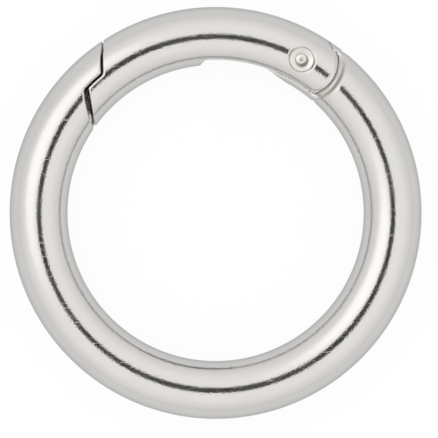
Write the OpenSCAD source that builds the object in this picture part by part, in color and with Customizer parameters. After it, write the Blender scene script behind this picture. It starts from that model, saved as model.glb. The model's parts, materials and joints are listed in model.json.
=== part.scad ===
// Spring gate ring: a ring of round wire with a hinged gate that opens inwards and springs shut.
// The ring lies flat with its axis along +Z. Its origin is at the ring's centre, on the surface under it.
// Angles run counterclockwise from +X.

/* [Ring] */
// Clear diameter inside the ring
ring_inner_d = 25; // [22:0.5:40]
// Diameter of the round wire
wire_d = 4.9; // [4.5:0.1:5.6]

/* [Gate] */
// Place of the hinge pin round the ring
hinge_angle = 60.7; // [0:0.1:120]
// Distance of the hinge pin inside the wire's centre line
pin_in = 0.15; // [0:0.01:0.3]
// Angle from the hinge pin to the outer joint of the latch
gate_angle = 68.9; // [60:0.1:80]
// Length of the half lap at the latch, along the wire
lap_l = 2; // [1:0.1:3]
// Distance of the lap's ledge outside the wire's centre line
ledge_out = 0.14; // [-0.3:0.01:0.3]
// Gap all along the latch when the gate is shut
latch_gap = 0.1; // [0.08:0.01:0.3]
// Angle that the toe's end leans back from the hook
toe_lean = 9.5; // [8:0.5:12]
// Angle that the gate swings inwards
open_angle = 35; // [25:1:40]

/* [Slot] */
// Width of the slot in the gate
slot_w = 2.75; // [2.2:0.05:3]
// Length of the slot past the hinge pin, along the wire
slot_l = 8.6; // [7.5:0.1:10]
// Wall left outside the slot
roof_t = 0.95; // [0.7:0.05:1.2]
// Bevel at the end of the slot's mouth
mouth_bevel = 0.5; // [0.2:0.05:0.7]

/* [Hinge] */
// Radius of the gate's round hinge end
knuckle_r = 3.08; // [2.9:0.02:3.5]
// Running gap between the hinge end and the ring
knuckle_gap = 0.06; // [0.05:0.01:0.3]
// Width of the sunk land that the hinge end turns against
land_w = 0.42; // [0.2:0.01:0.6]
// Depth of the land below the wire's surface
land_depth = 0.2; // [0.1:0.01:0.5]
// Set-back of the slot's outer wall from the hinge end
roof_setback = 0.4; // [0.3:0.05:0.6]
// Running gap between that wall and the tongue's root
roof_gap = 0.06; // [0.05:0.01:0.3]

/* [Tongue] */
// Running gap on each side of the tongue
tongue_play = 0.2; // [0.05:0.01:0.3]
// Reach of the tongue's tip from the pin
tip_r = 2.5; // [2.3:0.05:3]
// Turn left between the tip and the slot's outer wall when the gate is open
tip_spare_angle = 5; // [3:0.5:10]
// Wall round the tongue's bore
boss_wall = 0.65; // [0.4:0.05:0.8]

/* [Pin] */
// Diameter of the pin
pin_d = 1.1; // [0.9:0.05:1.4]
// Radial running play of the pin in the tongue
pin_play = 0.05; // [0.02:0.01:0.1]
// Radial seat clearance of the pin in the gate
pin_seat = 0.01; // [0.01:0.005:0.03]
// Diameter of each head
head_d = 2.02; // [1.8:0.02:2.4]
// Thickness of each head at its rim
head_t = 0.3; // [0.25:0.01:0.4]
// Depth of each head's seat below the top of the wire
head_sink = 0.5; // [0.45:0.01:0.6]
// Gap round each head in its seat
head_play = 0.02; // [0.01:0.01:0.1]
// Width of the flat rim of each head
rim_w = 0.03; // [0.02:0.01:0.15]
// Depth of the dish inside the rim
dish_depth = 0.1; // [0.05:0.01:0.2]
// Width of the dish's flat floor round the dome
floor_w = 0.09; // [0.04:0.01:0.15]
// Diameter of the dome in the middle of the dish
dome_d = 0.96; // [0.8:0.02:1.3]
// Height of the dome above the rim
dome_h = 0.17; // [0.05:0.01:0.19]

/* [Spring] */
// Side play of the spring in the slot
spring_side_play = 0.27; // [0.1:0.01:0.4]
// Diameter of the spring's wire
spring_wire_d = 0.32; // [0.2:0.01:0.4]
// Number of turns in the spring
spring_turns = 9; // [6:1:11]
// Gap between the spring and each of its seats
spring_seat_gap = 0.05; // [0.02:0.01:0.1]
// Depth of the spring inside the slot's mouth
spring_tuck = 0.12; // [0:0.01:0.2]

/* [Hidden] */
$fn = 96;

nickel = [0.8, 0.79, 0.77];
rivet_steel = [0.75, 0.74, 0.72];
spring_steel = [0.6, 0.6, 0.6];

// The ring's centre line, the pin's distance from the axis, and the angle that an arc length spans
wire_r = wire_d / 2;
ring_r = ring_inner_d / 2 + wire_r;
pin_place_r = ring_r - pin_in;
function span(length) = length / ring_r * 180 / PI;
wrap = span(wire_d);

// The latch: both of its joints are arcs about the pin, so that the gate swings clear of them
latch_angle = hinge_angle + gate_angle;
toe_angle = latch_angle + span(lap_l);
function pin_reach(angle, r) = sqrt(pow(pin_place_r, 2) + pow(r, 2) - 2 * pin_place_r * r * cos(angle));
latch_r = pin_reach(latch_angle - hinge_angle, ring_r);
toe_r = pin_reach(toe_angle - hinge_angle, ring_r);
ledge_r = ring_r + ledge_out;
// The toe's end leans about a point just inside the ring, given by the triangle of that point, axis and pin
lean_place_r = ring_inner_d / 2 - wire_r / 8;
lean_r = toe_r - latch_gap / 2;
function corner(near, side, far) = acos((pow(near, 2) + pow(side, 2) - pow(far, 2)) / (2 * near * side));
lean_turn = corner(pin_place_r, lean_place_r, lean_r);
lean_bend = corner(lean_place_r, lean_r, pin_place_r);

// The slot, between its outer wall and the edges of its mouth, as distances from the centre line
slot_end = hinge_angle + span(slot_l);
roof_h = wire_r - roof_t;
mouth_depth = sqrt(pow(wire_r, 2) - pow(slot_w / 2, 2));

// Arcs about the pin
land_r = knuckle_r + knuckle_gap;
shoulder_r = land_r + land_w;
roof_end_r = knuckle_r - roof_setback;
root_r = roof_end_r + roof_gap;

// The tongue's tip, as [out, along] from the pin: its upper corner stops short of the slot's outer wall
tongue_t = slot_w - 2 * tongue_play;
bore_r = pin_d / 2 + pin_play;
boss_r = bore_r + boss_wall;
roof_r = ring_r + roof_h;
roof_rise = asin((pow(roof_r, 2) - pow(pin_place_r, 2) - pow(tip_r, 2)) / (2 * pin_place_r * tip_r));
tip_rise = roof_rise - open_angle - tip_spare_angle;
tip_top = [tip_r * sin(tip_rise), tip_r * cos(tip_rise)];
tip_turn = atan2(tip_top[1], pin_place_r + tip_top[0]);
tip_low_r = ring_r - mouth_depth;
tip_low = [tip_low_r * cos(tip_turn) - pin_place_r, tip_low_r * sin(tip_turn)];
// The tip's lower side runs to the wire's inner edge at the pin, and past it
heel = [pin_in - wire_r, 0];
heel_past = tip_low + 1.5 * (heel - tip_low);
// The tip's upper flank runs into the round boss, to a point just inside it
flank_turn = atan2(tip_top[1], tip_top[0]) - acos(boss_r / tip_r);
flank_root = 0.95 * boss_r * [cos(flank_turn), sin(flank_turn)];

// The spring's axis is an arc inside the slot, from the tongue's tip to the slot's end
spring_d = slot_w - 2 * spring_side_play;
spring_axis_r = ring_r - mouth_depth + spring_tuck + spring_d / 2;
coil_r = (spring_d - spring_wire_d) / 2;
spring_start = hinge_angle + tip_turn;
spring_l = (slot_end - spring_start) * PI / 180 * spring_axis_r - 2 * spring_seat_gap - spring_wire_d;
// The first and last turn lie close, and the turns between them share the rest of the length
closed_pitch = 1.15 * spring_wire_d;
closed_part = 1 / spring_turns;
turn_steps = 20;
wire_sides = 8;

// Moves shapes to the middle of the wire's height
module at_wire() {
    translate([0, 0, wire_r])
        children();
}

// Moves shapes to the hinge pin, with X outwards and Y along the wire towards the latch
module at_pin() {
    rotate(hinge_angle)
        translate([pin_place_r, 0])
            children();
}

// Stretch of the ring's wire
module wire(from, to, r = wire_r) {
    rotate(from)
        rotate_extrude(angle = to - from)
            translate([ring_r, 0])
                circle(r);
}

// Curved block round the wire, between two distances from the wire's centre line
module block(from, to, inside, outside, thickness) {
    rotate(from)
        rotate_extrude(angle = to - from)
            translate([ring_r + inside, -thickness / 2])
                square([outside - inside, thickness]);
}

// Disc that cuts right through the wire
module disc(r) {
    cylinder(r = r, h = 2 * wire_d, center = true);
}

// The gate's reach at the latch, grown by a margin
module latch_reach(grow) {
    at_pin()
        disc(latch_r + grow);
    intersection() {
        at_pin()
            disc(toe_r + grow);
        disc(ledge_r + grow);
    }
}

// Outline of the tongue that the gate turns on: boss, tip and root, reaching past the wire on both sides
module tongue_outline() {
    root_y = -shoulder_r - wire_r / 2;
    circle(boss_r);
    polygon([
        heel_past,
        tip_low,
        tip_top,
        flank_root,
        [boss_r, 0],
        [boss_r, root_y],
        [-wire_d, root_y]
    ]);
    difference() {
        translate([-wire_d, root_y])
            square([2 * wire_d, -root_y]);
        circle(root_r);
    }
}

// Room that the gate's hinge end takes out of the wire, round the tongue and the sunk land
module hinge_room() {
    difference() {
        union() {
            at_pin()
                disc(shoulder_r);
            block(hinge_angle, hinge_angle + 2 * wrap, -wire_d, wire_d, 2 * wire_d);
        }
        linear_extrude(tongue_t, center = true)
            at_pin()
                tongue_outline();
        difference() {
            wire(hinge_angle - wrap, hinge_angle, wire_r - land_depth);
            at_pin()
                disc(land_r);
        }
    }
}

// Ring with the latch's hook at one end and the hinge's shoulder, land and tongue at the other
module ring_body() {
    color(nickel)
        at_wire()
            difference() {
                wire(latch_angle - wrap, 360 + hinge_angle + wrap);
                intersection() {
                    latch_reach(latch_gap / 2);
                    block(latch_angle - 2 * wrap, toe_angle + wrap, -wire_d, wire_d, 2 * wire_d);
                }
                hinge_room();
                at_pin()
                    disc(bore_r);
            }
}

// Gate arm with its slot, round hinge end, pin seats and latch toe
module gate() {
    hinge_block_start = hinge_angle - 2 * wrap;
    color(nickel)
        at_wire()
            difference() {
                intersection() {
                    wire(hinge_angle - wrap, toe_angle + wrap);
                    latch_reach(-latch_gap / 2);
                }
                // Round hinge end
                difference() {
                    block(hinge_block_start, hinge_angle, -wire_d, wire_d, 2 * wire_d);
                    at_pin()
                        disc(knuckle_r);
                }
                // Slot, with its outer wall set back at the hinge and its mouth bevelled at the far end
                block(hinge_block_start, slot_end, -wire_d, roof_h, slot_w);
                difference() {
                    block(hinge_block_start, hinge_angle, -wire_d, wire_d, slot_w);
                    at_pin()
                        disc(roof_end_r);
                }
                rotate(slot_end)
                    translate([ring_r - wire_r, 0])
                        linear_extrude(slot_w, center = true)
                            polygon(mouth_bevel * [[1.5, -0.5], [-0.5, 1.5], [-0.5, -0.5]]);
                // Toe's end, leaning back from the hook
                rotate(hinge_angle + lean_turn)
                    translate([lean_place_r, 0, -wire_d])
                        rotate(lean_bend - toe_lean)
                            translate([0, -2 * wire_d, 0])
                                cube([wire_d, 3 * wire_d, 2 * wire_d]);
                // Pin bore and head seats
                at_pin() {
                    disc(pin_d / 2 + pin_seat);
                    for (face = [0, 1])
                        mirror([0, 0, face])
                            translate([0, 0, wire_r - head_sink])
                                cylinder(d = head_d + 2 * head_play, h = wire_r);
                }
            }
}

// Head of the pin: a flat rim, and a dome in a dish
module pin_head() {
    dome_rise = dome_h + dish_depth;
    dome_sphere_r = (pow(dome_d / 2, 2) + pow(dome_rise, 2)) / (2 * dome_rise);
    floor_r = dome_d / 2 + floor_w;
    dish_slope = (head_d / 2 - rim_w - floor_r) / dish_depth;
    difference() {
        cylinder(d = head_d, h = head_t);
        translate([0, 0, head_t - dish_depth])
            cylinder(r1 = floor_r, r2 = floor_r + 2 * dish_depth * dish_slope, h = 2 * dish_depth);
    }
    intersection() {
        translate([0, 0, head_t + dome_h - dome_sphere_r])
            sphere(dome_sphere_r);
        translate([0, 0, (head_t - dish_depth) / 2])
            cylinder(d = head_d, h = 2 * head_t);
    }
}

// Pin riveted over at both faces of the gate
module hinge_pin() {
    color(rivet_steel)
        at_wire()
            at_pin() {
                cylinder(d = pin_d, h = wire_d - 2 * head_sink + head_t, center = true);
                for (face = [0, 1])
                    mirror([0, 0, face])
                        translate([0, 0, wire_r - head_sink])
                            pin_head();
            }
}

// Length along the spring's axis at a share of its turns
function spring_run(share) =
    share < closed_part ? closed_pitch * share / closed_part :
    share > 1 - closed_part ? spring_l - closed_pitch * (1 - share) / closed_part :
    closed_pitch
        + (spring_l - 2 * closed_pitch) * (share - closed_part) / (1 - 2 * closed_part);

// Point on the surface of the spring's wire: share along its turns, and turn about the wire's own centre
function spring_point(share, side_turn) =
    let (
        coil_turn = 360 * spring_turns * share,
        reach = coil_r + spring_wire_d / 2 * cos(side_turn),
        axis_r = spring_axis_r + reach * cos(coil_turn),
        run = spring_seat_gap + spring_wire_d / 2 * (1 + sin(side_turn)) + spring_run(share),
        ring_turn = spring_start + run / spring_axis_r * 180 / PI
    )
    [axis_r * cos(ring_turn), axis_r * sin(ring_turn), reach * sin(coil_turn)];

// Coil spring that pushes the gate shut
module gate_spring() {
    steps = spring_turns * turn_steps;
    last = steps * wire_sides;
    points = [
        for (step = [0:steps])
            for (side = [0:wire_sides - 1])
                spring_point(step / steps, 360 * side / wire_sides)
    ];
    walls = [
        for (step = [0:steps - 1])
            for (side = [0:wire_sides - 1])
                let (
                    near = step * wire_sides,
                    far = near + wire_sides,
                    next = (side + 1) % wire_sides
                )
                [near + side, near + next, far + next, far + side]
    ];
    start_cap = [for (side = [wire_sides - 1:-1:0]) side];
    end_cap = [for (side = [0:wire_sides - 1]) last + side];
    color(spring_steel)
        at_wire()
            polyhedron(points, concat(walls, [start_cap, end_cap]));
}

ring_body();
gate();
hinge_pin();
gate_spring();
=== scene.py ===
# %% [markdown]
# # Spring gate ring
# A spring gate ring is a closed ring of round metal with one hinged stretch, the gate. A finger pushes the
# gate inwards, a strap or a key ring goes in, and a small spring shuts the gate again. Ring and gate are
# cast in zinc, tumbled smooth and plated with nickel. The solids are already in their places, so this
# lesson dresses them: it makes fine meshes with the softly rounded edges of a tumbled casting, a plate
# finish that mirrors the studio, and the studio itself.

# %% Load the frame
import json
import math

import bmesh
import bpy
from mathutils import Matrix, Vector
from mathutils.bvhtree import BVHTree


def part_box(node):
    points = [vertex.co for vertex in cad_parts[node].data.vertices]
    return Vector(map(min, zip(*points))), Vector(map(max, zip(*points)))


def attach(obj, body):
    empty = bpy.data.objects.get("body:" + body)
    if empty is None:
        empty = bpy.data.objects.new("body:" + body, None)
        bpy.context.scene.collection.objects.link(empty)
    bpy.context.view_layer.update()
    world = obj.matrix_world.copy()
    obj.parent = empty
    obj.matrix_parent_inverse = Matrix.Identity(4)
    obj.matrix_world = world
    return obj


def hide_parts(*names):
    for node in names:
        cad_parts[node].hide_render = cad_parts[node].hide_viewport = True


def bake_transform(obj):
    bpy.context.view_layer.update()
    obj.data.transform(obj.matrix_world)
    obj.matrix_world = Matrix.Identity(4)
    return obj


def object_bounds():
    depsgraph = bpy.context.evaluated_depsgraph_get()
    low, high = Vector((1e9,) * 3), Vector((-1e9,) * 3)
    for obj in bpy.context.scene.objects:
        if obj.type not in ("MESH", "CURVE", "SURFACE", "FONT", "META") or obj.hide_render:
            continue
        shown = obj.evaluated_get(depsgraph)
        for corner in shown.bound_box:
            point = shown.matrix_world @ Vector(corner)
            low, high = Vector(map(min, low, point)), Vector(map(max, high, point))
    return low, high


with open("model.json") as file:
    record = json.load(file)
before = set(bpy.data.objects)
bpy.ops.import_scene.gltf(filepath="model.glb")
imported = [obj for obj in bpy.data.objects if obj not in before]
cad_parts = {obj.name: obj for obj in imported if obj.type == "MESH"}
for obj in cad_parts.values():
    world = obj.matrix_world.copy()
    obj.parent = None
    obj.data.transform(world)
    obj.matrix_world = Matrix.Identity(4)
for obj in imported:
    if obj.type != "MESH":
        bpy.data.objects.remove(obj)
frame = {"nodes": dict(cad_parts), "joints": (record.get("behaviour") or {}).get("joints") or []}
cad_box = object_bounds()
print("nodes:", sorted(frame["nodes"]))

# %% [markdown]
# ## Sizes that the frame gives
# Everything below is measured from the solids. The ring lies flat, so its height is the thickness of the
# wire, and half of its width less half of the wire is the radius of the wire's centre line. The meshes are
# modelled in millimetres, because some of Blender's tools have limits that suit bigger numbers, and each
# one is scaled to metres when it is done.

# %% Measure the ring and the hinge
MM = 0.001
cad_low, cad_high = (Vector(corner) / MM for corner in cad_box)
wire_r = (cad_high.z - cad_low.z) / 2
ring_r = (cad_high.x - cad_low.x) / 2 - wire_r
hinge_pin_at = Vector(frame["joints"][0]["pos_m"]) / MM
hinge_angle = math.degrees(math.atan2(hinge_pin_at.y, hinge_pin_at.x))
print(f"wire {2 * wire_r:.2f} mm, centre line {ring_r:.2f} mm, hinge at {hinge_angle:.1f} degrees")

# %% [markdown]
# ## Camera
# The ring is seen face on, through a long lens, so that its outline is a plain circle. The camera hangs
# straight above it, a little aside of the middle, because the ring isn't quite in the middle of the
# picture. The scale comes from the clear inside of the ring: its size in millimetres and its size in
# pixels.

# %% Hang the camera over the ring
image_px = 438
ring_inside_px = 296
ring_centre_px = Vector((215.6, 212.9))
camera_height = 600
pixel = 2 * (ring_r - wire_r) / ring_inside_px

camera = bpy.data.objects.new("camera", bpy.data.cameras.new("camera"))
bpy.context.scene.collection.objects.link(camera)
camera.location = Vector((
    (image_px / 2 - ring_centre_px.x) * pixel,
    (ring_centre_px.y - image_px / 2) * pixel,
    camera_height,
)) * MM
camera.data.lens = camera.data.sensor_width * (camera_height - wire_r) / (image_px * pixel)
camera.data.clip_end = 10
bpy.context.scene.camera = camera
bpy.context.scene.view_settings.view_transform = "Standard"
print(f"one pixel is {pixel:.4f} mm, lens {camera.data.lens:.0f} mm")

# %% [markdown]
# ## Node helpers
# Materials and the world are node trees. A small helper adds a node and sets its values, and another draws
# the links, so that each tree below reads as a short list.


# %% Helpers for node trees
def add_node(tree, kind, inputs=None, **settings):
    """Adds a shader node, sets its properties and then its input sockets."""
    new = tree.nodes.new("ShaderNode" + kind)
    for key, value in settings.items():
        setattr(new, key, value)
    for key, value in (inputs or {}).items():
        new.inputs[key].default_value = value
    return new


def link(tree, *pairs):
    """Links pairs of an output socket and an input socket."""
    for source, target in pairs:
        tree.links.new(source, target)


# %% [markdown]
# ## Studio light
# Polished metal has no look of its own: it shows the room. The room here is a white tent. It is brightest
# overhead, falls off towards the table, and has one soft lamp to the upper left. The world shader makes it
# from the direction of each ray: its height gives the fall-off, and its angle from the lamp gives a soft
# round glow.

# %% Light the tent
tent_overhead = 1.25
tent_at_table = 0.95
even_above = 0.77
lamp_turn = math.radians(157)
lamp_lean = math.radians(36)
lamp_core = math.radians(8)
lamp_edge = math.radians(30)
lamp_gain = 0.4
tent_white = (1.0, 0.994, 0.983, 1)
lamp_towards = Vector((
    math.sin(lamp_lean) * math.cos(lamp_turn),
    math.sin(lamp_lean) * math.sin(lamp_turn),
    math.cos(lamp_lean),
))

world = bpy.data.worlds.new("white tent")
bpy.context.scene.world = world
world.use_nodes = True
tree = world.node_tree
background = tree.nodes["Background"]
background.inputs["Color"].default_value = tent_white
ray = add_node(tree, "TexCoord")
direction = add_node(tree, "VectorMath", operation="NORMALIZE")
height = add_node(tree, "SeparateXYZ")
fall_off = add_node(tree, "MapRange", {
    "From Min": 0, "From Max": even_above, "To Min": tent_at_table, "To Max": tent_overhead,
})
towards_lamp = add_node(tree, "VectorMath", operation="DOT_PRODUCT")
towards_lamp.inputs[1].default_value = lamp_towards
glow = add_node(tree, "MapRange", {
    "From Min": math.cos(lamp_edge), "From Max": math.cos(lamp_core), "To Min": 0, "To Max": lamp_gain,
}, interpolation_type="SMOOTHSTEP")
total = add_node(tree, "Math", operation="ADD")
link(
    tree,
    (ray.outputs["Generated"], direction.inputs[0]),
    (direction.outputs["Vector"], height.inputs["Vector"]),
    (direction.outputs["Vector"], towards_lamp.inputs[0]),
    (height.outputs["Z"], fall_off.inputs["Value"]),
    (towards_lamp.outputs["Value"], glow.inputs["Value"]),
    (fall_off.outputs["Result"], total.inputs[0]),
    (glow.outputs["Result"], total.inputs[1]),
    (total.outputs["Value"], background.inputs["Strength"]),
)
print("tent lit, lamp towards", tuple(round(value, 2) for value in lamp_towards))

# %% [markdown]
# ## Table and camera hood
# The table is white paper. Its shader mixes some plain white into what the camera and the mirror-like metal
# see, so the paper looks white and still keeps a soft shadow. Where the ring covers most of the sky no
# white is mixed in, so it is dark right under the wire. Above the camera hangs a dark hood. The crest of
# the wire mirrors what is straight overhead, so the hood draws the dark line all round the ring.


# %% Make a stage piece
def stage_piece(name, bm, material):
    """Turns a bmesh in millimetres into an object that isn't part of the ring."""
    bmesh.ops.scale(bm, vec=(MM, MM, MM), verts=bm.verts)
    mesh = bpy.data.meshes.new(name)
    bm.to_mesh(mesh)
    bm.free()
    piece = bpy.data.objects.new(name, mesh)
    bpy.context.scene.collection.objects.link(piece)
    mesh.materials.append(material)


# %% Lay the paper
paper_half = 1500
paper_below = 0.01
paper_colour = (0.88, 0.88, 0.88, 1)
paper_white = 0.93
shade_reach = 20
sky_dark = 0.15
sky_open = 0.35

paper = bpy.data.materials.new("white paper")
paper.use_nodes = True
tree = paper.node_tree
tree.nodes.clear()
path = add_node(tree, "LightPath")
seen = add_node(tree, "Math", operation="MAXIMUM")
seen_or_through = add_node(tree, "Math", operation="MAXIMUM")
sky = add_node(tree, "AmbientOcclusion", {"Distance": shade_reach * MM}, samples=16)
most_white = add_node(tree, "MapRange", {
    "From Min": sky_dark, "From Max": sky_open, "To Min": 0, "To Max": paper_white,
})
share = add_node(tree, "Math", operation="MULTIPLY")
matte = add_node(tree, "BsdfDiffuse", {"Color": paper_colour})
white = add_node(tree, "Emission", {"Strength": 1.0})
blend = add_node(tree, "MixShader")
out = add_node(tree, "OutputMaterial")
link(
    tree,
    (path.outputs["Is Camera Ray"], seen.inputs[0]),
    (path.outputs["Is Glossy Ray"], seen.inputs[1]),
    (seen.outputs["Value"], seen_or_through.inputs[0]),
    (path.outputs["Is Transmission Ray"], seen_or_through.inputs[1]),
    (sky.outputs["AO"], most_white.inputs["Value"]),
    (seen_or_through.outputs["Value"], share.inputs[0]),
    (most_white.outputs["Result"], share.inputs[1]),
    (share.outputs["Value"], blend.inputs["Fac"]),
    (matte.outputs["BSDF"], blend.inputs[1]),
    (white.outputs["Emission"], blend.inputs[2]),
    (blend.outputs["Shader"], out.inputs["Surface"]),
)
bm = bmesh.new()
bmesh.ops.create_grid(bm, x_segments=1, y_segments=1, size=paper_half)
bmesh.ops.translate(bm, vec=(0, 0, -paper_below), verts=bm.verts)
stage_piece("paper_table", bm, paper)
print("paper laid,", 2 * paper_half, "mm square")

# %% Hang the camera hood
hood_height = 650
hood_half_x = math.tan(math.radians(9.9)) * hood_height
hood_half_y = math.tan(math.radians(11.5)) * hood_height
hood_aside_x = math.tan(math.radians(1.9)) * hood_height
hood_aside_y = -math.tan(math.radians(2.5)) * hood_height
hood_colour = (0.06, 0.06, 0.055, 1)
hood_roughness = 0.9

hood_black = bpy.data.materials.new("hood black")
hood_black.use_nodes = True
cloth = hood_black.node_tree.nodes["Principled BSDF"]
cloth.inputs["Base Color"].default_value = hood_colour
cloth.inputs["Roughness"].default_value = hood_roughness
bm = bmesh.new()
bmesh.ops.create_circle(bm, cap_ends=True, segments=64, radius=1)
bmesh.ops.scale(bm, vec=(hood_half_x, hood_half_y, 1), verts=bm.verts)
bmesh.ops.translate(bm, vec=(hood_aside_x, hood_aside_y, hood_height), verts=bm.verts)
stage_piece("camera_hood", bm, hood_black)
print(f"hood {2 * hood_half_x:.0f} by {2 * hood_half_y:.0f} mm, {hood_height} mm up")

# %% [markdown]
# ## Plate finish
# Nickel plate on a tumbled casting isn't a perfect mirror. It has a slight orange peel, fine pits and a few
# hair scratches, which fray the edges of every reflection. In the gaps, where no buff gets, it is dull, and
# a brown painted shade, marked on the meshes, darkens it and takes some of its metal away. All metal pieces
# share these effects, so they are one node group. It puts out a mottled tint, a roughness, a share of bare
# metal and a height, and each material sets its own amounts.

# %% Build the plate group
# Painted shade: a brown mixed into the metal where gaps and inner corners are shaded, and on one side of the
# rivet's dome.
painted_shade_brown = (0.17, 0.14, 0.115, 1)
plate = bpy.data.node_groups.new("tumbled plate", "ShaderNodeTree")
for name, kind, start in (
    ("Tint", "NodeSocketColor", (0.6, 0.59, 0.575, 1)),
    ("Dull Tint", "NodeSocketColor", (0.52, 0.51, 0.49, 1)),
    ("Peel", "NodeSocketFloat", 1.0),
    ("Pits", "NodeSocketFloat", 1.0),
    ("Scratches", "NodeSocketFloat", 1.0),
    ("Smooth", "NodeSocketFloat", 0.1),
    ("Rough", "NodeSocketFloat", 0.2),
    ("Painted Shade", "NodeSocketFloat", 0.0),
):
    socket = plate.interface.new_socket(name, in_out="INPUT", socket_type=kind)
    socket.default_value = start
for name, kind in (
    ("Colour", "NodeSocketColor"),
    ("Roughness", "NodeSocketFloat"),
    ("Metallic", "NodeSocketFloat"),
    ("Height", "NodeSocketFloat"),
):
    plate.interface.new_socket(name, in_out="OUTPUT", socket_type=kind)

given = plate.nodes.new("NodeGroupInput")
made = plate.nodes.new("NodeGroupOutput")
place = add_node(plate, "TexCoord")
in_mm = add_node(plate, "Mapping", {"Scale": (1 / MM, 1 / MM, 1 / MM)})
peel = add_node(plate, "TexNoise", {"Scale": 2.2, "Detail": 3.0, "Roughness": 0.55})
pits = add_node(plate, "TexNoise", {"Scale": 7.0, "Detail": 2.0, "Roughness": 0.6})
cloud = add_node(plate, "TexNoise", {"Scale": 0.35, "Detail": 4.0, "Roughness": 0.6})
streak_way = add_node(plate, "Mapping", {"Rotation": (0.3, 0.2, 0.9), "Scale": (0.5, 6.0, 4.0)})
streaks = add_node(plate, "TexNoise", {"Scale": 1.0, "Detail": 2.0, "Distortion": 1.2})
hairs = add_node(plate, "MapRange", {"From Min": 0.66, "From Max": 0.72})
peel_high = add_node(plate, "Math", operation="MULTIPLY")
pits_high = add_node(plate, "Math", operation="MULTIPLY")
hairs_deep = add_node(plate, "Math", operation="MULTIPLY")
raised = add_node(plate, "Math", operation="ADD")
relief = add_node(plate, "Math", operation="SUBTRACT")
tint = add_node(plate, "Mix", data_type="RGBA")
finish = add_node(plate, "MapRange", {"From Min": 0.35, "From Max": 0.65})
# Painted shade: the marked share mixes the brown into the tint, raises the roughness and lowers the
# metallic.
painted_shade_mix = add_node(plate, "Mix", {"B": painted_shade_brown}, data_type="RGBA")
unbuffed = add_node(plate, "Math", operation="MAXIMUM")
bare = add_node(plate, "Math", {0: 1.0}, operation="SUBTRACT")
link(
    plate,
    (place.outputs["Object"], in_mm.inputs["Vector"]),
    (in_mm.outputs["Vector"], peel.inputs["Vector"]),
    (in_mm.outputs["Vector"], pits.inputs["Vector"]),
    (in_mm.outputs["Vector"], cloud.inputs["Vector"]),
    (in_mm.outputs["Vector"], streak_way.inputs["Vector"]),
    (streak_way.outputs["Vector"], streaks.inputs["Vector"]),
    (streaks.outputs["Fac"], hairs.inputs["Value"]),
    (peel.outputs["Fac"], peel_high.inputs[0]),
    (given.outputs["Peel"], peel_high.inputs[1]),
    (pits.outputs["Fac"], pits_high.inputs[0]),
    (given.outputs["Pits"], pits_high.inputs[1]),
    (hairs.outputs["Result"], hairs_deep.inputs[0]),
    (given.outputs["Scratches"], hairs_deep.inputs[1]),
    (peel_high.outputs["Value"], raised.inputs[0]),
    (pits_high.outputs["Value"], raised.inputs[1]),
    (raised.outputs["Value"], relief.inputs[0]),
    (hairs_deep.outputs["Value"], relief.inputs[1]),
    (cloud.outputs["Fac"], tint.inputs["Factor"]),
    (given.outputs["Tint"], tint.inputs["A"]),
    (given.outputs["Dull Tint"], tint.inputs["B"]),
    (cloud.outputs["Fac"], finish.inputs["Value"]),
    (given.outputs["Smooth"], finish.inputs["To Min"]),
    (given.outputs["Rough"], finish.inputs["To Max"]),
    (given.outputs["Painted Shade"], painted_shade_mix.inputs["Factor"]),
    (tint.outputs["Result"], painted_shade_mix.inputs["A"]),
    (painted_shade_mix.outputs["Result"], made.inputs["Colour"]),
    (given.outputs["Painted Shade"], unbuffed.inputs[0]),
    (finish.outputs["Result"], unbuffed.inputs[1]),
    (unbuffed.outputs["Value"], made.inputs["Roughness"]),
    (given.outputs["Painted Shade"], bare.inputs[1]),
    (bare.outputs["Value"], made.inputs["Metallic"]),
    (relief.outputs["Value"], made.inputs["Height"]),
)
print("plate group:", len(plate.nodes), "nodes")

# %% Make plated materials
edge_tint = (0.62, 0.63, 0.66, 1)


def plated(name, relief_mm, **amounts):
    """A metal with the tumbled plate group, its relief given in millimetres."""
    material = bpy.data.materials.new(name)
    material.use_nodes = True
    tree = material.node_tree
    metal = tree.nodes["Principled BSDF"]
    metal.inputs["Specular Tint"].default_value = edge_tint
    surface = tree.nodes.new("ShaderNodeGroup")
    surface.node_tree = plate
    for key, value in amounts.items():
        surface.inputs[key.replace("_", " ")].default_value = value
    bump = add_node(tree, "Bump", {"Strength": 1.0, "Distance": relief_mm * MM})
    # Painted shade: the share of brown shade marked on each mesh point.
    depth = add_node(tree, "Attribute", attribute_name="painted_shade")
    link(
        tree,
        (depth.outputs["Fac"], surface.inputs["Painted Shade"]),
        (surface.outputs["Colour"], metal.inputs["Base Color"]),
        (surface.outputs["Roughness"], metal.inputs["Roughness"]),
        (surface.outputs["Metallic"], metal.inputs["Metallic"]),
        (surface.outputs["Height"], bump.inputs["Height"]),
        (bump.outputs["Normal"], metal.inputs["Normal"]),
    )
    print("material:", name)
    return material


nickel = plated(
    "nickel plate", 0.008,
    Tint=(0.62, 0.61, 0.595, 1), Dull_Tint=(0.58, 0.568, 0.55, 1),
    Peel=1.0, Pits=1.0, Scratches=0.25, Smooth=0.08, Rough=0.14,
)
rivet_nickel = plated(
    "riveted nickel", 0.008,
    Tint=(0.68, 0.66, 0.635, 1), Dull_Tint=(0.6, 0.58, 0.555, 1),
    Peel=0.8, Pits=0.5, Scratches=0.2, Smooth=0.22, Rough=0.32,
)
spring_wire = plated(
    "drawn spring wire", 0.004,
    Tint=(0.5, 0.5, 0.49, 1), Dull_Tint=(0.36, 0.36, 0.35, 1),
    Peel=0.3, Pits=0.8, Scratches=1.0, Smooth=0.2, Rough=0.35,
)

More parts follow.
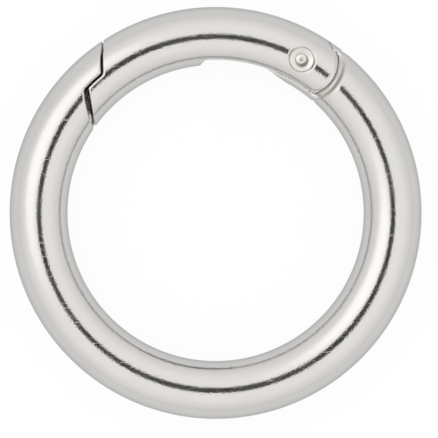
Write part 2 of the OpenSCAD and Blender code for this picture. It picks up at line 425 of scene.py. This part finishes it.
# %% [markdown]
# ## Rounded casting
# A tumbled casting has no sharp edge: hours in the drum round every corner by a tenth or two of a
# millimetre. Bevelling each edge of the solids would be hard, because their edges run where cylinders cut a
# torus. So a copy of the solid is skinned with a fine voxel mesh and smoothed, which rounds all edges at
# once. Smoothing also shrinks the round wire a little, so each point that was on the wire goes back to its
# exact radius. The latch is smoothed further, because its edges are worn rounder than the hinge's. The
# plain stretch of the wire needs no such care: it is a circle, spun round the ring's axis.


# %% Measure a point on the wire
def ring_turn(point):
    """Angle of a point round the ring, in degrees from 0 to 360."""
    return math.degrees(math.atan2(point.y, point.x)) % 360


def wire_arm(point):
    """The nearest point on the wire's centre line, and the way from there to a point."""
    middle = Vector((point.x, point.y, 0)).normalized() * ring_r + Vector((0, 0, wire_r))
    return middle, point - middle


def nearness(miss, full, none):
    """1 for a miss up to full, 0 from none on, and a slope between."""
    return min(max((none - abs(miss)) / (none - full), 0), 1)


def seat_on_wire(verts, full=0.02, none=0.06):
    """Puts points that are nearly on the wire's surface exactly on it, and fades out towards its edges."""
    for vert in verts:
        middle, arm = wire_arm(vert.co)
        lack = wire_r - arm.length
        arm.length += lack * nearness(lack, full, none)
        vert.co = middle + arm


def seat_on_arc(verts, arc_r, to_r, full=0.05, none=0.13):
    """Makes a sharp edge where an arc about the pin meets the wire, and puts it on an arc beside it."""
    for vert in verts:
        from_pin = (vert.co - hinge_pin_at).to_2d()
        miss = from_pin.length - arc_r
        if abs(miss) < none and ring_turn(vert.co) < hinge_angle:
            depth = wire_arm(vert.co)[1].length
            depth += (wire_r - depth) * nearness(wire_r - depth, full, none)
            from_pin.length += (to_r - from_pin.length) * nearness(miss, full, none)
            vert.co.xy = hinge_pin_at.xy + from_pin
            middle, arm = wire_arm(vert.co)
            arm.length = depth
            vert.co = middle + arm


# %% Cut the wire across
def cut_across(bm, angle, clear_outer=False, clear_inner=False):
    """Cuts a mesh by the plane through the ring's axis at an angle."""
    turn = math.radians(angle)
    bmesh.ops.bisect_plane(
        bm, geom=bm.verts[:] + bm.edges[:] + bm.faces[:], dist=1e-5,
        plane_co=(0, 0, 0), plane_no=(-math.sin(turn), math.cos(turn), 0),
        clear_outer=clear_outer, clear_inner=clear_inner,
    )


# %% Smooth points
def smooth(bm, verts, passes):
    """Moves points towards the middle of their neighbours, several times."""
    for _ in range(passes):
        bmesh.ops.smooth_vert(
            bm, verts=verts, factor=0.5, use_axis_x=True, use_axis_y=True, use_axis_z=True,
        )


# %% Skin a copy of a solid
latch_stretch = (121, 150)
latch_side = 0.6


def rounded_copy(node, ends_only=None, voxel=0.075, passes=9, latch_passes=14):
    """A bmesh in millimetres of a node, with all its edges rounded.

    ends_only gives the first and the last angle of a plain stretch of wire to leave out.
    """
    bm = bmesh.new()
    bm.from_mesh(frame["nodes"][node].data)
    bmesh.ops.scale(bm, vec=(1 / MM, 1 / MM, 1 / MM), verts=bm.verts)
    bmesh.ops.remove_doubles(bm, verts=bm.verts, dist=0.0005)
    if ends_only:
        cut_across(bm, ends_only[0], clear_outer=True)
        cut_across(bm, ends_only[1], clear_inner=True)
        bmesh.ops.holes_fill(bm, edges=[edge for edge in bm.edges if edge.is_boundary])
    mesh = bpy.data.meshes.new("blank")
    bm.to_mesh(mesh)
    bm.free()
    blank = bpy.data.objects.new("blank", mesh)
    bpy.context.scene.collection.objects.link(blank)
    skin = blank.modifiers.new("skin", "REMESH")
    skin.mode = "VOXEL"
    skin.voxel_size = voxel
    skinned = blank.evaluated_get(bpy.context.evaluated_depsgraph_get()).to_mesh()
    bm = bmesh.new()
    bm.from_mesh(skinned)
    bpy.data.objects.remove(blank)
    bpy.data.meshes.remove(mesh)
    smooth(bm, bm.verts, passes)
    at_latch = [
        vert for vert in bm.verts
        if latch_stretch[0] < ring_turn(vert.co) < latch_stretch[1]
        and abs(vert.co.z - wire_r) > latch_side * wire_r
    ]
    smooth(bm, at_latch, latch_passes)
    seat_on_wire(bm.verts)
    print(f"{node}: skinned with {len(bm.faces)} faces")
    return bm


# %% Fill in the plain stretch
def spin_plain_stretch(bm, start, end, around=128, step=0.35):
    """Puts a smooth spun tube in place of the skin between two angles and bridges it to the rest."""
    cut_across(bm, start)
    cut_across(bm, end)
    stretch = end - start
    inside = [
        face for face in bm.faces
        if (ring_turn(face.calc_center_median()) - start) % 360 < stretch
    ]
    bmesh.ops.delete(bm, geom=inside, context="FACES")

    margin = 0.8
    turn = math.radians(stretch - 2 * margin)
    ring = bmesh.ops.create_circle(bm, segments=around, radius=wire_r)["verts"]
    bmesh.ops.rotate(bm, matrix=Matrix.Rotation(math.pi / 2, 3, "X"), verts=ring)
    bmesh.ops.translate(bm, vec=(ring_r, 0, wire_r), verts=ring)
    bmesh.ops.rotate(bm, matrix=Matrix.Rotation(math.radians(start + margin), 3, "Z"), verts=ring)
    edges = list({edge for vert in ring for edge in vert.link_edges})
    bmesh.ops.spin(
        bm, geom=ring + edges, cent=(0, 0, 0), axis=(0, 0, 1), angle=turn,
        steps=max(4, round(turn * ring_r / step)),
    )
    for angle in (start, end):
        rim = [
            edge for edge in bm.edges
            if edge.is_boundary and abs((ring_turn(edge.verts[0].co) - angle + 180) % 360 - 180) < 2 * margin
        ]
        bmesh.ops.bridge_loops(bm, edges=rim)
    open_edges = sum(edge.is_boundary for edge in bm.edges)
    print(f"plain stretch {start} to {end} degrees spun, {open_edges} open edges left")


# %% Ease the wire down
def ease_down(verts, edge_r, reach, depth, wall, beyond=0.1):
    """Rounds the wire down to an arc about the hinge pin, over a reach inside it, or outside if negative.

    It goes on a little beyond the arc, and fades out down the wall below it.
    """
    for vert in verts:
        inside = (edge_r - (vert.co - hinge_pin_at).to_2d().length) / reach
        if -beyond < inside < 1 and ring_turn(vert.co) < hinge_angle:
            middle, arm = wire_arm(vert.co)
            fade = max(1 - (wire_r - arm.length) / wall, 0)
            arm.length -= depth * (1 - max(inside, 0)) ** 2 * fade
            vert.co = middle + arm


def ease_to_head(verts, level, reach, close=0.93):
    """Rounds the gate down to the rim of each head of the rivet."""
    for vert in verts:
        height = vert.co.z - wire_r
        near = (head_r + reach - (vert.co - hinge_pin_at).to_2d().length) / reach
        if near > 0 and abs(height) > level:
            near = min(near, 1)
            share = close * near * near * (3 - 2 * near)
            vert.co.z -= share * (height - math.copysign(level, height))


# %% Mark the painted shade
# Painted shade: brown darkening deep in the gaps and along the inner corners of the hinge, where shade
# falls.
gap_painted_shade = 0.4
gap_depth = (0.12, 0.9)
corner_painted_shade = 0.75
corner_reach = (0.05, 0.26)
shade_side_fade = (0.55, 0.95)


def mark_painted_shade(bm, arcs):
    """Gives each point its share of painted shade, by its depth in the wire and along arcs about the hinge
    pin.

    The painted shade along the arcs fades out towards the sides of the wire.
    """
    painted_shade = bm.verts.layers.float.new("painted_shade")
    for vert in bm.verts:
        depth = wire_r - wire_arm(vert.co)[1].length
        painted_shade_share = gap_painted_shade * (1 - nearness(depth, *gap_depth))
        if ring_turn(vert.co) < hinge_angle:
            from_pin = (vert.co - hinge_pin_at).to_2d().length
            away_from_side = 1 - nearness((vert.co.z - wire_r) / wire_r, *shade_side_fade)
            for arc_r in arcs:
                painted_shade_share = max(painted_shade_share, corner_painted_shade * away_from_side * nearness(from_pin - arc_r, *corner_reach))
        vert[painted_shade] = painted_shade_share


# %% Finish a piece
def finish_piece(bm, name, material, node, body=None, crease=None, painted_shade_arcs=None):
    """Scales a mesh to metres and makes it the piece that stands for a node.

    crease is the least angle of a sharp edge. The last argument gives the radii of inner corners about the
    hinge pin that get painted shade, and without it the piece gets no painted shade here.
    """
    bmesh.ops.recalc_face_normals(bm, faces=bm.faces)
    if painted_shade_arcs is not None:
        mark_painted_shade(bm, painted_shade_arcs)
    bmesh.ops.scale(bm, vec=(MM, MM, MM), verts=bm.verts)
    for face in bm.faces:
        face.smooth = True
    mesh = bpy.data.meshes.new(name)
    bm.to_mesh(mesh)
    bm.free()
    mesh.materials.append(material)
    if crease:
        mesh.set_sharp_from_angle(angle=math.radians(crease))
    piece = bpy.data.objects.new(name, mesh)
    bpy.context.scene.collection.objects.link(piece)
    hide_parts(node)
    if body:
        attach(piece, body)
    triangles = sum(len(face.vertices) - 2 for face in mesh.polygons)
    print(f"{name}: {triangles} triangles")
    return piece


# %% [markdown]
# ## Gate
# The gate is the smaller casting. Its slot, hinge end and toe are skinned, and the short plain stretch
# between the slot and the toe is spun.

# %% Make the gate
gate_plain = (99, 120)
tight = 0.02
roof_tight = 0.028
knuckle_r = 3.08
roof_end_r = 2.68
pin_low, pin_high = (Vector(corner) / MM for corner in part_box("hinge_pin"))
head_r = (pin_high.x - pin_low.x) / 2
dome_h = 0.17
rim_top = pin_high.z - wire_r - dome_h
bm = rounded_copy("gate")
seat_on_arc(bm.verts, knuckle_r, knuckle_r + tight)
seat_on_arc(bm.verts, roof_end_r, roof_end_r + roof_tight, full=0.08, none=0.18)
ease_down(bm.verts, knuckle_r, reach=0.4, depth=0.14, wall=0.3)
ease_to_head(bm.verts, rim_top, reach=0.24)
spin_plain_stretch(bm, *gate_plain)
gate_skin = BVHTree.FromBMesh(bm)
# Painted shade in the gate's gaps, by depth only.
finish_piece(bm, "plated_gate", nickel, "gate", "gate", painted_shade_arcs=())

# %% [markdown]
# ## Ring
# The ring is one casting: a long plain bend with the latch's hook at one end and the hinge's shoulder, land
# and tongue at the other. Only its two ends are skinned, and the bend between them is spun. Hardly any light
# comes up through the latch's gap. What stops it can't be seen, so this is a guess: the halves of the die
# meet at mid height, and a thin rib of metal is left there.

# %% Leave a rib in the latch
rib_clear = 0.04
rib_half = 1.3
rib_foot = 1.9
rib_most = 0.45
rib_from_edge = (0.08, 0.2)
rib_facing = (0.2, 0.5)


def grow_rib(bm, other):
    """Grows a thin rib at mid height on the ring's end, up to a clearance from the gate's skin.

    It fades out before the rounded edges, so that the gate swings clear of it.
    """
    bm.normal_update()
    grown = 0
    for vert in bm.verts:
        depth = wire_r - wire_arm(vert.co)[1].length
        share = nearness(vert.co.z - wire_r, rib_half, rib_foot) * (1 - nearness(depth, *rib_from_edge))
        if share and latch_stretch[0] < ring_turn(vert.co) < latch_stretch[1]:
            towards = Vector((vert.co.y, -vert.co.x, 0)).normalized()
            facing = 1 - nearness(max(vert.normal.dot(towards), 0), *rib_facing)
            gap = other.ray_cast(vert.co, towards, rib_most)[3] if facing else None
            if gap and gap > rib_clear:
                vert.co += towards * (gap - rib_clear) * share * facing
                grown += 1
    print("rib in the latch:", grown, "points")


# %% Make the ring
ring_plain = (158, 392)
skin_margin = 3
land_r = 3.14
shoulder_r = 3.56
root_r = 2.74
painted_shade_beyond = 0.03
bm = rounded_copy("ring_body", ends_only=(ring_plain[0] + skin_margin, ring_plain[1] - skin_margin))
seat_on_arc(bm.verts, land_r, land_r - tight)
seat_on_arc(bm.verts, root_r, root_r - roof_tight, full=0.08, none=0.18)
ease_down(bm.verts, shoulder_r, reach=-0.6, depth=0.08, wall=0.25)
grow_rib(bm, gate_skin)
spin_plain_stretch(bm, *ring_plain)
# Painted shade in the ring's gaps and along the inner corners of the land and the shoulder.
finish_piece(
    bm, "plated_ring", nickel, "ring_body", "ring",
    painted_shade_arcs=(land_r, shoulder_r + painted_shade_beyond),
)

# %% [markdown]
# ## Hinge rivet
# A rivet holds the gate. The riveting tool spreads its end into a shallow dish with a low dome in the
# middle, never quite centred. Half of the outline is drawn as arcs and straight edges, mirrored for the
# other face, and spun round the pin's axis. Then the top of each dome and its foot are pushed a little
# apart, and the long side that this makes gets a crescent of brown painted shade.


# %% Draw the rivet's outline
def arc(centre, radius, first, last, steps):
    """Points of an arc in the plane of the outline, between two angles in degrees."""
    turns = [math.radians(first + (last - first) * step / steps) for step in range(steps + 1)]
    return [(centre[0] + radius * math.cos(turn), centre[1] + radius * math.sin(turn)) for turn in turns]


shank_r = 0.55
head_t = 0.3
seat_fill = 0.045
seat_r = head_r + seat_fill
rim_w = 0.03
rim_round = 0.02
dish_depth = 0.1
floor_r = 0.57
dome_r = 0.5
cap_r = 0.41
cap_rise = 0.06
cap_round = 0.07
wall_turn = 15
ball_r = (cap_r ** 2 + cap_rise ** 2) / (2 * cap_rise)
cap_edge = math.degrees(math.acos(cap_r / ball_r))

outline = arc((0, rim_top + dome_h - ball_r), ball_r, first=90, last=cap_edge, steps=10)
edge_r, edge_level = outline[-1]
edge_turn = math.radians(cap_edge)
round_at = (edge_r - cap_round * math.cos(edge_turn), edge_level - cap_round * math.sin(edge_turn))
outline += arc(round_at, cap_round, first=cap_edge, last=wall_turn, steps=8)[1:]
outline += [(dome_r, rim_top - dish_depth), (floor_r, rim_top - dish_depth), (head_r - rim_w, rim_top)]
outline += arc((seat_r - rim_round, rim_top - rim_round), rim_round, first=90, last=0, steps=4)
outline += [(seat_r, rim_top - head_t), (shank_r, rim_top - head_t), (shank_r, 0)]
bm = bmesh.new()
corners = [bm.verts.new((radius, 0, level)) for radius, level in outline]
for near, far in zip(corners, corners[1:]):
    bm.edges.new((near, far))
print(f"rivet outline: {len(outline)} points, head {2 * head_r:.2f} mm across")

# %% Spin the rivet
cap_aside = Vector((-0.04, 0.04, 0))
foot_aside = Vector((0.01, -0.08, 0))
floor_aside = Vector((0.035, -0.11, 0))
# Painted shade: a brown crescent on the long side of each dome.
rivet_painted_shade = 0.9
rivet_shade_reach = 0.1
miss = 0.01
bmesh.ops.mirror(bm, geom=bm.verts[:] + bm.edges[:], axis="Z", merge_dist=0.001)
bmesh.ops.spin(
    bm, geom=bm.verts[:] + bm.edges[:], cent=(0, 0, 0), axis=(0, 0, 1), angle=math.tau,
    steps=96, use_merge=True,
)
bmesh.ops.remove_doubles(bm, verts=bm.verts, dist=0.001)
painted_shade = bm.verts.layers.float.new("painted_shade")
in_dish = [vert for vert in bm.verts if abs(vert.co.z) > rim_top - 2 * dish_depth]
caps = [vert for vert in in_dish if vert.co.to_2d().length < dome_r - miss]
feet = [vert for vert in in_dish if abs(vert.co.to_2d().length - dome_r) < miss]
floors = [vert for vert in in_dish if abs(vert.co.to_2d().length - floor_r) < miss]
long_side = (foot_aside - cap_aside).to_2d().normalized()
# Painted shade on the dome's long side, strongest where it faces most that way.
for vert in caps + feet:
    from_axis = vert.co.to_2d()
    if from_axis.length > dome_r - rivet_shade_reach:
        vert[painted_shade] = rivet_painted_shade * max(from_axis.normalized().dot(long_side), 0)
bmesh.ops.translate(bm, vec=cap_aside, verts=caps)
bmesh.ops.translate(bm, vec=foot_aside, verts=feet)
bmesh.ops.translate(bm, vec=floor_aside, verts=floors)
bmesh.ops.translate(bm, vec=(hinge_pin_at.x, hinge_pin_at.y, wire_r), verts=bm.verts)
finish_piece(bm, "hinge_rivet", rivet_nickel, "hinge_pin", "gate", crease=9)

# %% [markdown]
# ## Gate spring
# A small coil of spring wire lies in the gate's slot and pushes against the tongue. One circle, spun with a
# step along the axis, makes a straight coil, and each of its points is then carried round the ring to lie
# in the slot's bend. The spring has one end on the gate and the other on the ring, and here it is attached
# to neither body.

# %% Measure the spring
coil_points = [vert.co / MM for vert in frame["nodes"]["gate_spring"].data.vertices]
coil_turns = [ring_turn(point) for point in coil_points]
coil_reach = [math.hypot(point.x, point.y) for point in coil_points]
coil_axis_r = (min(coil_reach) + max(coil_reach)) / 2
coil_r = (max(point.z for point in coil_points) - min(point.z for point in coil_points)) / 2
coil_length = math.radians(max(coil_turns) - min(coil_turns)) * coil_axis_r
spring_wire_d = 0.32
spring_turns = 9
print(f"spring {2 * coil_r:.2f} mm across, {coil_length:.2f} mm long")

# %% Wind the spring
turn_steps = 32
run = (coil_length - spring_wire_d) / (spring_turns * turn_steps)
bm = bmesh.new()
section = bmesh.ops.create_circle(bm, segments=12, radius=spring_wire_d / 2)["verts"]
bmesh.ops.translate(bm, vec=(spring_wire_d / 2, coil_r - spring_wire_d / 2, 0), verts=section)
bmesh.ops.spin(
    bm, geom=bm.verts[:] + bm.edges[:], cent=(0, 0, 0), axis=(1, 0, 0), dvec=(run, 0, 0),
    angle=math.tau * spring_turns, steps=spring_turns * turn_steps,
)
bmesh.ops.holes_fill(bm, edges=[edge for edge in bm.edges if edge.is_boundary])
first_turn = math.radians(min(coil_turns))
for vert in bm.verts:
    turn = first_turn + vert.co.x / coil_axis_r
    reach = coil_axis_r + vert.co.y
    vert.co = Vector((reach * math.cos(turn), reach * math.sin(turn), vert.co.z + wire_r))
spring = finish_piece(bm, "coil_spring", spring_wire, "gate_spring")


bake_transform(spring)
